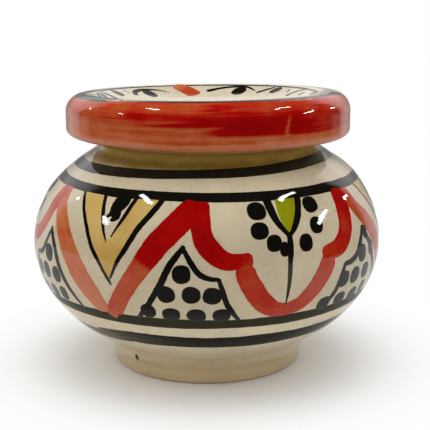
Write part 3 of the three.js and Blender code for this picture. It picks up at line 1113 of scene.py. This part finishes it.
# An arch stands under each peak: its straight leg on the spear's side, its scallops on the lobe's side.
# Degrees count from the peak, towards the lobe. The dots stand in rows.
ARCH_LINES = (
    ((-4.0, 53.2, 1.6, 1), (-8.3, 47.0, 2.2, 1), (-10.9, 41.4, 2.2, 1), (-14.1, 35.9, 2.0, 1),
     (-19.3, 29.0, 1.3, 0.9)),
    ((-4.4, 52.4, 1.4, 1), (-2.1, 48.3, 1.8, 1), (0.2, 45.1, 1.9, 1), (2.9, 43.6, 1.7, 1),
     (6.1, 43.3, 1.2, 1)),
    ((5.7, 43.6, 1.3, 1), (6.8, 39.9, 1.7, 1), (8.2, 35.5, 1.9, 1), (9.9, 32.6, 1.8, 1),
     (12.2, 29.6, 1.2, 0.9)),
)
ARCH_DOTS = (
    ((-4.7, 44.8, 5.6, 5.9),),
    ((-9.2, 38.3, 5.5, 5.6), (-2.0, 38.4, 5.7, 5.8), (4.0, 38.2, 5.7, 5.6)),
    ((-15.2, 32.3, 5.0, 5.2), (-8.3, 31.5, 5.6, 5.3), (-0.8, 31.5, 5.8, 5.2), (6.8, 31.4, 5.6, 5.3)),
)
# Each peak's arch: (degrees it stands aside, how far it spreads, how bold its lines are,
# degrees that each row of dots stands aside)
ARCH_PLACES = (
    (2.2, 1.0, 1.0, (2.7, 3.1, 7.5)),
    (0.0, 1.0, 1.0, (0, 0, 0)),
    (0.3, 1.15, 1.25, (1.5, 2.7, 7.2)),
    (0.6, 1.05, 1.0, (0.8, 0.4, 0.6)),
    (-0.5, 1.1, 1.1, (0.2, 0.6, 1.2)),
    (0.3, 1.0, 1.0, (0.4, 0.2, -0.4)),
)
# Two dots that stand alone, (degrees, height, width, tall), and a speck on the foot, with its lean and load
LONE_DOTS = ((59.4, 51.2, 3.4, 4.4), (63.0, 45.3, 4.2, 5.0))
FOOT_SPECK = (-44.2, 6.6, 1.7, 2.2, -20, 0.45)

# How much higher each stroke lies than the one before it
RED_LAYER = 0.008
OCHRE_LAYER = 0.004
BLACK_LAYER = 0.006

# How the hand shakes from point to point and from section to section
SHAKE_STEP = 0.7
SHAKE_SECTION = 3.3
SHAKE_ASIDE_SEED = 1.5
SHAKE_UP_SEED = 7.5

# Rings: (height, width, load, degrees where the brush was set down, rise across the pot, degrees that it
# rises towards, how far above the ring the brush's tip was set down, how far the ring sinks and narrows
# before it closes, and for the last one its coats)
NECK_RINGS = (
    (72.4, 4.25, 0.95, 150, 1.45, 100, 0, 0),
    (66.2, 3.6, 1.0, 205, 0.1, 40, 0, 0),
)
BASE_RINGS = (
    (28.1, 4.0, 0.5, 120, 0.35, 50, 0, 0),
    (20.3, 7.0, 1.0, -44, 0.15, 40, 0.8, 1.6, ((-110, -8, 0, 3, 0.5), (-110, -24, 0, 3, 0.16))),
)
RING_POINTS = 24
RING_OVERLAP = 15
RING_CLIMB = 0.03
RING_SHAKE = 0.25
RING_SHAKE_STEP = 0.6
RING_SHAKE_SEED = 2.5
RING_SWELL = 0.12
RING_SWELL_STEP = 0.8
RING_SWELL_SEED = 9.5
RING_LAST_LOAD = 0.8
RING_SINKS = (0.8, 0.92)
RING_RISES = (0.955, 1)
TIP_WIDTH = 0.6


def bowl_path(path, left, stretch, shake=0.0, section=0):
    """A path given in degrees from a section's left edge, as (degrees, along, width, load) on the bowl."""
    made = []
    for index, (degrees, height, width, load) in enumerate(path):
        step = index * SHAKE_STEP
        off = shake * noise.noise(Vector((step, section * SHAKE_SECTION, SHAKE_ASIDE_SEED)))
        up = shake * noise.noise(Vector((step, section * SHAKE_SECTION, SHAKE_UP_SEED)))
        made.append((left + stretch * degrees + off, bowl_side.along_to(height=height + up), width, load))
    return made


def bowl_dab(brush, degrees, height, *blot):
    brush.dab(degrees, bowl_side.along_to(height=height), *blot)


def paint_ring(brush, height, width, load, start, rise, towards, tip, sink, coats=()):
    """One stroke round the bowl, which ends over its own start."""
    path = []
    for step in range(RING_POINTS + 1):
        share = step / RING_POINTS
        degrees = start + (360 + RING_OVERLAP) * share
        shake = noise.noise(Vector((step * RING_SHAKE_STEP, height, RING_SHAKE_SEED)))
        swell = noise.noise(Vector((step * RING_SWELL_STEP, height, RING_SWELL_SEED)))
        sunk = sink * ease(share, *RING_SINKS) * (1 - ease(share, *RING_RISES))
        level = height + rise * math.cos(math.radians(degrees - towards)) + RING_SHAKE * shake - sunk
        spread = width * (1 + RING_SWELL * swell) - sunk
        if tip and step == 0:
            level += tip
            spread = TIP_WIDTH
        left_over = load * mix(1, RING_LAST_LOAD, share)
        path.append((degrees, bowl_side.along_to(height=level), spread, left_over))
    brush.stroke(path, climb=RING_CLIMB, coats=coats)


def paint_section(section, left, right, red, ochre, green, black):
    """A spear or a lobe between two peaks."""
    shake, aside, wider, more_paint = SECTIONS[section]
    is_spear = section % 2 == 0
    stretch = (right - left) / (SPEAR_WIDTH if is_spear else LOBE_WIDTH)

    def placed(path):
        return bowl_path(path, left, stretch, shake, section)

    garland = SPEAR_GARLAND if is_spear else LOBE_GARLAND
    outer = 0 if is_spear else len(garland) - 1
    for index, path in enumerate(garland):
        stroke = placed(path)
        if index == outer:
            stroke = [(degrees + aside, along, wider * width, load + more_paint)
                      for degrees, along, width, load in stroke]
        red.stroke(stroke, raised=RED_LAYER * index)
    if is_spear:
        for index, path in enumerate(SPEAR_OCHRE):
            ochre.stroke(placed(path), raised=OCHRE_LAYER * index)
    else:
        green.stroke(placed(LOBE_SEED))
        for degrees, *blot in LOBE_DOTS:
            bowl_dab(black, left + stretch * degrees, *blot)
    for index, path in enumerate(SPEAR_LINES if is_spear else LOBE_LINES):
        black.stroke(placed(path), raised=BLACK_LAYER * index)


def paint_arch(black, peak, towards_lobe, aside, widen, bold, row_shifts):
    """The arch under a peak, with its rows of dots; towards_lobe is 1 to the right and -1 to the left."""
    for index, path in enumerate(ARCH_LINES):
        turned = [(towards_lobe * (widen * degrees + aside), height, bold * width, load)
                  for degrees, height, width, load in path]
        black.stroke(bowl_path(turned, peak, 1), raised=BLACK_LAYER * index)
    for row, shift in zip(ARCH_DOTS, row_shifts):
        for degrees, *blot in row:
            bowl_dab(black, peak + towards_lobe * (degrees + shift), *blot)


def paint_bowl():
    neck_rings = Brush(bowl_side, RING_THICKNESS)
    base_rings = Brush(bowl_side, RING_THICKNESS)
    red = Brush(bowl_side, RED_THICKNESS)
    ochre = Brush(bowl_side, OCHRE_THICKNESS)
    green = Brush(bowl_side, GREEN_THICKNESS)
    black = Brush(bowl_side, BLACK_THICKNESS, ragged=LINE_RAGGED)

    for ring in NECK_RINGS:
        paint_ring(neck_rings, *ring)
    for ring in BASE_RINGS:
        paint_ring(base_rings, *ring)
    for section, (left, right) in enumerate(zip(PEAKS, PEAKS[1:])):
        paint_section(section, left, right, red, ochre, green, black)
    for index, (peak, place) in enumerate(zip(PEAKS, ARCH_PLACES)):
        paint_arch(black, peak, 1 if index % 2 else -1, *place)
    for dot in LONE_DOTS:
        bowl_dab(black, *dot)
    bowl_dab(black, *FOOT_SPECK)

    neck_rings.piece("bowl_black_neck_rings", BLACK, "bowl", "black_paint")
    base_rings.piece("bowl_black_base_rings", BASE_BLACK, "bowl", "black_paint")
    red.piece("bowl_red_garland", RED, "bowl", "red_paint")
    ochre.piece("bowl_ochre_spears", OCHRE, "bowl", "ochre_paint")
    green.piece("bowl_green_seeds", GREEN, "bowl", "green_paint")
    black.piece("bowl_black_drawing", BLACK, "bowl", "black_paint")


paint_bowl()


# Ornament of the lid
# The wall runs from under the rim over the crest and down the dish to the hole.
LID_SEAT_POINTS = 2
LID_TOP_LINE = LID_OUTLINE[LID_SEAT_POINTS:]
HOLE_EDGE = next(index for index, (radius, height) in enumerate(LID_TOP_LINE)
                 if radius <= HOLE_RADIUS + HOLE_EDGE_ROUND)
lid_side = Wall(LID_TOP_LINE[:HOLE_EDGE], lid_by_hand)

RIM_LOW = 78.6
RIM_RADIUS = 44.4
RIM_START = 100
RIM_TURN = 376
RIM_POINTS = 36
RIM_LOAD = 0.2
RIM_SHAKE = 0.3
RIM_SHAKE_STEP = 0.9
RIM_SHAKE_SEED = (3.5, 1.5)
# Coats on the rim: (first degrees, last degrees, middle and half width across the band from -1 to 1, load)
RIM_COATS = (
    (0, 360, 0.9, 0.6, 0.42), (0, 360, -0.76, 0.2, 0.03), (-30, 24, -0.58, 0.1, 0.34),
    (-76, -16, 0.3, 0.16, 0.46), (-60, 6, 0.08, 0.14, 0.4), (-50, 0, -0.22, 0.12, 0.34),
    (6, 66, 0.6, 0.4, 0.56), (-1, 20, 0.62, 0.3, 0.8), (-38, 58, 0.34, 0.18, 0.73),
    (-20, 60, 0.15, 0.2, 0.95), (-6, 58, -0.14, 0.28, 0.96), (36, 74, 0.02, 0.42, 0.66),
    (28.5, 31.5, -0.1, 0.5, 0.2), (84, 150, 0.0, 0.4, 0.95), (140, 205, 0.3, 0.3, 0.75),
    (190, 262, -0.05, 0.4, 0.9), (250, 290, 0.2, 0.35, 0.6),
)

# Lines on the dish: (degrees, radius, width, load)
DISH_RING = (
    (100, 38.9, 0.9, 0.8), (122, 39.8, 1.0, 0.9), (147, 40.2, 1.0, 0.9), (170, 40.2, 1.1, 0.9),
    (200, 40.3, 0.9, 0.85), (222, 40.5, 1.1, 0.8), (245, 40.6, 1.6, 0.7), (258, 41.2, 2.2, 0.6),
    (272, 43.0, 3.4, 0.5), (286, 43.8, 4.2, 0.5), (300, 44.1, 3.8, 0.55), (310, 44.8, 2.8, 0.7),
    (317, 45.4, 0.8, 0.8),
)
FRONT_RING = (
    (-38, 44.2, 0.8, 0.8), (-23, 44.0, 1.8, 1), (-1, 44.1, 2.1, 1), (16, 43.9, 2.0, 1),
    (35, 43.8, 1.9, 1), (54, 43.8, 1.9, 1), (66, 44.0, 2.4, 1), (72, 44.0, 3.6, 1), (77, 43.6, 4.0, 1),
)
RING_PRONG = ((-62, 42.2, 1.2, 0.8), (-52, 42.9, 1.9, 1), (-43, 43.1, 2.3, 1), (-37, 43.0, 0.6, 0.9))
# A red petal stands at each of three places, with a spray of leaves on both sides of it. The last petal has
# another spray after it. Degrees count from the petal.
PETAL_ANGLES = (-166, -46, 58)
PETAL = ((3.6, 40.9, 5.0, 0.05), (-2.2, 36.9, 6.2, 0.36), (-7.0, 32.9, 6.0, 0.5))
SPRAY_BEFORE = (
    ((-14.0, 36.0, 2.2, 1), (-18.2, 37.1, 2.0, 1), (-22.7, 38.2, 1.7, 1), (-28.8, 39.0, 1.6, 1),
     (-35.8, 39.1, 1.5, 1), (-39, 38.4, 1.2, 1), (-43.5, 36.6, 0.7, 0.9)),
    ((-45.6, 35.2, 1.5, 1), (-50, 37.4, 1.7, 1), (-54.4, 39.4, 1.0, 0.9)),
)
SPRAY_AFTER = (
    ((9.0, 35.4, 0.5, 0.7), (12.4, 36.8, 0.8, 0.8), (16, 37.8, 1.2, 0.9), (20.6, 38.3, 1.6, 1),
     (25.6, 38.4, 1.9, 1), (31, 37.4, 2.3, 1), (33.4, 35.0, 2.2, 1)),
    ((38, 39.3, 0.5, 0.6), (35.7, 36.7, 0.6, 0.7)),
    ((47.2, 39.8, 1.0, 0.8), (45.2, 37.9, 3.4, 1), (43.4, 35.4, 3.0, 1)),
    ((58, 40.2, 0.8, 0.8), (55.9, 37.4, 2.4, 1), (54.2, 34.2, 2.0, 1)),
    ((65, 39.8, 0.5, 0.6), (62.0, 36.4, 1.0, 0.8)),
)
SPRAY_AFTER_LAST = (
    ((65.4, 34.2, 1.9, 1), (63.7, 36.6, 1.6, 1), (60.4, 38.4, 1.2, 0.9), (57.0, 39.2, 0.6, 0.8)),
    ((69.0, 36.6, 1.2, 0.9), (70.0, 38.6, 0.8, 0.8)),
    ((55.6, 35.4, 1.6, 1), (53.7, 37.6, 1.0, 0.9)),
    ((44.6, 37.2, 2.2, 1), (40.0, 38.6, 1.2, 0.9)),
    ((34.0, 36.4, 1.6, 1), (30.0, 38.4, 0.8, 0.8)),
)
# Leaves: (degrees, radius, width, tall, lean)
LEAVES_BEFORE = ((-33.6, 36.0, 5.2, 6.2, 20), (-57, 37.4, 3.6, 5.4, 30))
LEAF_AFTER = (22.4, 35.4, 4.4, 6.6, -24)
# How much higher than others in the same paint the lines round the dish and the petals lie
DISH_LINE_RAISED = 0.02
DISH_LINE_LAYER = 0.01
PETAL_RAISED = 0.1


def lid_path(path, left=0):
    """A path of (degrees, radius, width, load) points on the dish."""
    return [(left + degrees, lid_side.along_to(radius=radius), width, load)
            for degrees, radius, width, load in path]


def paint_rim(red):
    """One broad stroke round the rim, with the coats over it."""
    low = lid_side.along_to(height=RIM_LOW)
    high = lid_side.along_to(radius=RIM_RADIUS)
    path = []
    for step in range(RIM_POINTS + 1):
        degrees = RIM_START + RIM_TURN * step / RIM_POINTS
        shake = RIM_SHAKE * noise.noise(Vector((step * RIM_SHAKE_STEP, *RIM_SHAKE_SEED)))
        path.append((degrees, (low + high) / 2 + shake, high - low, RIM_LOAD))
    red.stroke(path, climb=RING_CLIMB, coats=RIM_COATS)


def paint_dish(petals, black):
    """The lines round the dish, and the petals with their leaf sprays."""
    for index, path in enumerate((DISH_RING, FRONT_RING, RING_PRONG)):
        black.stroke(lid_path(path), raised=DISH_LINE_RAISED + DISH_LINE_LAYER * index)
    for angle in PETAL_ANGLES:
        is_last = angle == PETAL_ANGLES[-1]
        petals.stroke(lid_path(PETAL, angle), raised=PETAL_RAISED)
        sprays = SPRAY_BEFORE + (SPRAY_AFTER_LAST if is_last else SPRAY_AFTER)
        for index, path in enumerate(sprays):
            black.stroke(lid_path(path, angle), raised=BLACK_LAYER * index)
        leaves = LEAVES_BEFORE if is_last else (*LEAVES_BEFORE, LEAF_AFTER)
        for degrees, radius, *blot in leaves:
            black.dab(angle + degrees, lid_side.along_to(radius=radius), *blot)


def paint_lid():
    red = Brush(lid_side, RED_THICKNESS, column=RIM_COLUMN)
    petals = Brush(lid_side, RED_THICKNESS)
    black = Brush(lid_side, BLACK_THICKNESS, ragged=LINE_RAGGED)
    paint_rim(red)
    paint_dish(petals, black)
    red.piece("lid_red_rim", RIM_RED, "lid", "red_paint")
    petals.piece("lid_red_petals", RED, "lid", "red_paint")
    black.piece("lid_black_drawing", BLACK, "lid", "black_paint")


paint_lid()


# Studio
WHITE = (1, 1, 1, 1)
CAMERA_PLACE = (0, -344.7 * MM, 122.3 * MM)
CAMERA_PITCH = 0.206
CAMERA_TURN = -0.0082
CAMERA_LENS = 83.9
CAMERA_SENSOR = 36

# Softboxes: (name, place, power)
SOFTBOX_SIZE = 1.0
SOFTBOXES = (
    ("top_softbox", (0, 0.1, 1.25), 5.0),
    ("left_softbox", (-1.0, -0.3, 0.9), 4.0),
    ("right_softbox", (1.0, -0.3, 0.9), 2.4),
)

# Strip lamps that show only in the glaze: (start, end, thickness) in degrees, with start and end as
# (azimuth from the front, elevation)
STRIP_DISTANCE = 1.1
STRIP_BRIGHTNESS = 40.0
STRIPS = (
    ((-91, 61), (-66, 61.5), 2.0),
    ((-80, 30.5), (-73, 26.5), 2.0),
    ((-120, 28), (-118, 28), 2.0),
    ((76, 54), (97, 51), 2.2),
    ((82, 23), (97, 27.5), 2.2),
    ((118, 20), (124, 18), 1.6),
)

# The room in the glaze. Each pair is where a soft step starts and ends: towards the back from 0 at the sides
# to 1 straight behind, or upwards from 0 level to 1 overhead.
ROOM_LIGHT = (0.76, 0.76, 0.76, 1)
ROOM_IN_GLAZE = (0.035, 0.035, 0.035, 1)
BACKDROP = (1.15, 1.15, 1.15, 1)
BACKDROP_EDGE = (0.53, 0.64)
BACKDROP_TILT = -0.06
BACKDROP_TOP = (0.5, 0.75)
DIM_MIDDLE = (0.75, 0.96)
DIM_SHARE = (0.74, 0.26)
DIM_TOP = (0.1, 0.35)
TABLE_EDGE = (0.31, 0.42)
TABLE_SHARE = 0.3
TABLE_TOP = (-0.04, 0.06)
OVER_ONE = 1.0001

# The floor, in metres
FLOOR_RADIUS = 0.45
FLOOR_SPOKES = 96
FLOOR_COLOUR = (0.88, 0.87, 0.85, 1)
FLOOR_RIM_COLOUR = (0.08, 0.08, 0.08, 1)
FLOOR_TURNS_WHITE = (0.036, 0.1)
FLOOR_TURNS_DARK = (0.07, 0.22)
# What the glaze mirrors of it: dark further out, but white behind the object and beside it
DARK_IN_GLAZE = (0.062, 0.085)
DARK_IN_GLAZE_SHARE = 0.85
WHITE_BEHIND = (-0.02, 0.04)
WHITE_BEHIND_SHARE = 0.6
WHITE_ASIDE = (0.5, 0.85)
WHITE_ASIDE_SHARE = 0.7
WHITE_ASIDE_FROM = (0.06, 0.085)


def heading(azimuth, elevation):
    """The direction at that azimuth from the front, to the right, and that elevation, in degrees."""
    turn = math.radians(azimuth)
    rise = math.radians(elevation)
    return Vector((math.sin(turn) * math.cos(rise), -math.cos(turn) * math.cos(rise), math.sin(rise)))


def add_camera():
    data = bpy.data.cameras.new("camera")
    data.lens = CAMERA_LENS
    data.sensor_width = CAMERA_SENSOR
    camera = bpy.data.objects.new("camera", data)
    camera.location = CAMERA_PLACE
    camera.rotation_euler = (math.pi / 2 - CAMERA_PITCH, 0, CAMERA_TURN)
    bpy.context.scene.collection.objects.link(camera)
    bpy.context.scene.camera = camera


def add_lamp(name, place, along, towards, length, thickness, power):
    """A rectangular lamp that shines towards a direction, its long side along another."""
    data = bpy.data.lights.new(name, "AREA")
    data.shape = "RECTANGLE"
    data.size = length
    data.size_y = thickness
    data.energy = power
    back = -towards
    turn = Matrix((along, back.cross(along), back)).transposed()
    lamp = bpy.data.objects.new(name, data)
    lamp.matrix_world = Matrix.Translation(place) @ turn.to_4x4()
    lamp.visible_camera = False
    bpy.context.scene.collection.objects.link(lamp)
    return lamp


def add_lamps():
    """Softboxes that light the object, unseen in the glaze, and strips that show only in the glaze."""
    middle = Vector((0, 0, (CAD_BOX[0][2] + CAD_BOX[1][2]) / 2))
    for name, place, power in SOFTBOXES:
        towards = (middle - Vector(place)).normalized()
        along = Vector((0, 1, 0)).cross(towards).normalized()
        softbox = add_lamp(name, Vector(place), along, towards, SOFTBOX_SIZE, SOFTBOX_SIZE, power)
        softbox.visible_glossy = False
    for index, (start, end, thickness) in enumerate(STRIPS):
        near_end = heading(*start)
        far_end = heading(*end)
        along = far_end - near_end
        out = (near_end + far_end).normalized()
        length = along.length * STRIP_DISTANCE
        thick = math.radians(thickness) * STRIP_DISTANCE
        power = STRIP_BRIGHTNESS * math.pi * length * thick
        name = f"strip_lamp_{index + 1}"
        strip = add_lamp(name, middle + out * STRIP_DISTANCE, along.normalized(), -out, length, thick, power)
        strip.visible_diffuse = False


def seen_directly(tree, ray):
    """1 for what the camera sees, also through something clear."""
    return calc(tree, "ADD", ray["Is Camera Ray"], ray["Is Transmission Ray"], clamp=True)


def add_world():
    """White for the camera and an even light for the object.

    The glaze mirrors a pale backdrop behind the object, dim low down in its middle, the edge of a far table,
    and a dark room in front.
    """
    world = bpy.data.worlds.new("studio")
    world.use_nodes = True
    bpy.context.scene.world = world
    tree = world.node_tree
    tree.nodes.clear()
    ray = add(tree, "ShaderNodeLightPath").outputs
    direction = add(tree, "ShaderNodeTexCoord").outputs["Generated"]
    right, back, up = add(tree, "ShaderNodeSeparateXYZ", {0: direction}).outputs
    level = calc(tree, "SQRT", calc(tree, "SUBTRACT", OVER_ONE, calc(tree, "MULTIPLY", up, up)))
    behind = calc(tree, "DIVIDE", back, level)
    edge = calc(tree, "MULTIPLY_ADD", right, BACKDROP_TILT, behind)
    dim = fit(tree, behind, *DIM_MIDDLE, *DIM_SHARE)
    undimmed = calc(tree, "MULTIPLY", fit(tree, up, *DIM_TOP), calc(tree, "SUBTRACT", 1.0, dim))
    backdrop = calc(tree, "MULTIPLY", fit(tree, edge, *BACKDROP_EDGE), calc(tree, "ADD", undimmed, dim))
    table_top = fit(tree, up, *TABLE_TOP, 1.0, 0.0)
    table = calc(tree, "MULTIPLY", fit(tree, edge, *TABLE_EDGE, 0.0, TABLE_SHARE), table_top)
    bright = calc(tree, "MAXIMUM", backdrop, table)
    bright = calc(tree, "MULTIPLY", bright, fit(tree, up, *BACKDROP_TOP, 1.0, 0.0))
    mirrored = blend(tree, bright, ROOM_IN_GLAZE, BACKDROP)
    unseen = blend(tree, ray["Is Glossy Ray"], ROOM_LIGHT, mirrored)
    colour = blend(tree, seen_directly(tree, ray), unseen, WHITE)
    light = add(tree, "ShaderNodeBackground", {"Color": colour, "Strength": 1.0})
    add(tree, "ShaderNodeOutputWorld", {"Surface": light.outputs[0]})


def floor_material():
    """Pale and matt where the shadow falls, and white further out for the camera."""
    material = bpy.data.materials.new("pale_floor")
    material.use_nodes = True
    tree = material.node_tree
    tree.nodes.clear()
    ray = add(tree, "ShaderNodeLightPath").outputs
    place = add(tree, "ShaderNodeTexCoord").outputs["Object"]
    parts = add(tree, "ShaderNodeSeparateXYZ", {0: place}).outputs
    far = add(tree, "ShaderNodeVectorMath", {0: place}, operation="LENGTH").outputs["Value"]
    dark = fit(tree, far, *DARK_IN_GLAZE, 0.0, DARK_IN_GLAZE_SHARE)
    dark = calc(tree, "MULTIPLY", dark, ray["Is Glossy Ray"])
    dark = calc(tree, "MAXIMUM", fit(tree, far, *FLOOR_TURNS_DARK), dark)
    aside = calc(tree, "DIVIDE", calc(tree, "ABSOLUTE", parts[0]), far)
    beside = fit(tree, aside, *WHITE_ASIDE, 0.0, WHITE_ASIDE_SHARE)
    beside = calc(tree, "MULTIPLY", beside, fit(tree, far, *WHITE_ASIDE_FROM))
    behind = fit(tree, parts[1], *WHITE_BEHIND, 0.0, WHITE_BEHIND_SHARE)
    in_glaze = calc(tree, "MAXIMUM", behind, beside)
    seen = calc(tree, "MULTIPLY_ADD", in_glaze, ray["Is Glossy Ray"], seen_directly(tree, ray), clamp=True)
    share = calc(tree, "MULTIPLY", fit(tree, far, *FLOOR_TURNS_WHITE), seen)
    white = add(tree, "ShaderNodeEmission", {"Color": WHITE, "Strength": 1.0})
    matt = add(tree, "ShaderNodeBsdfDiffuse", {"Color": blend(tree, dark, FLOOR_COLOUR, FLOOR_RIM_COLOUR)})
    shader = add(tree, "ShaderNodeMixShader", {0: share, 1: matt.outputs[0], 2: white.outputs[0]})
    add(tree, "ShaderNodeOutputMaterial", {"Surface": shader.outputs[0]})
    return material


def add_floor():
    """A round floor that takes the object's shadow."""
    points = [(0, 0, 0)]
    for spoke in range(FLOOR_SPOKES):
        turn = 2 * math.pi * spoke / FLOOR_SPOKES
        points.append((FLOOR_RADIUS * math.sin(turn), FLOOR_RADIUS * math.cos(turn), 0))
    faces = [[0, 1 + (spoke + 1) % FLOOR_SPOKES, 1 + spoke] for spoke in range(FLOOR_SPOKES)]
    floor = mesh_piece("floor", points, faces, floor_material())


add_camera()
add_lamps()
add_world()
add_floor()
bpy.context.scene.view_settings.view_transform = "Standard"
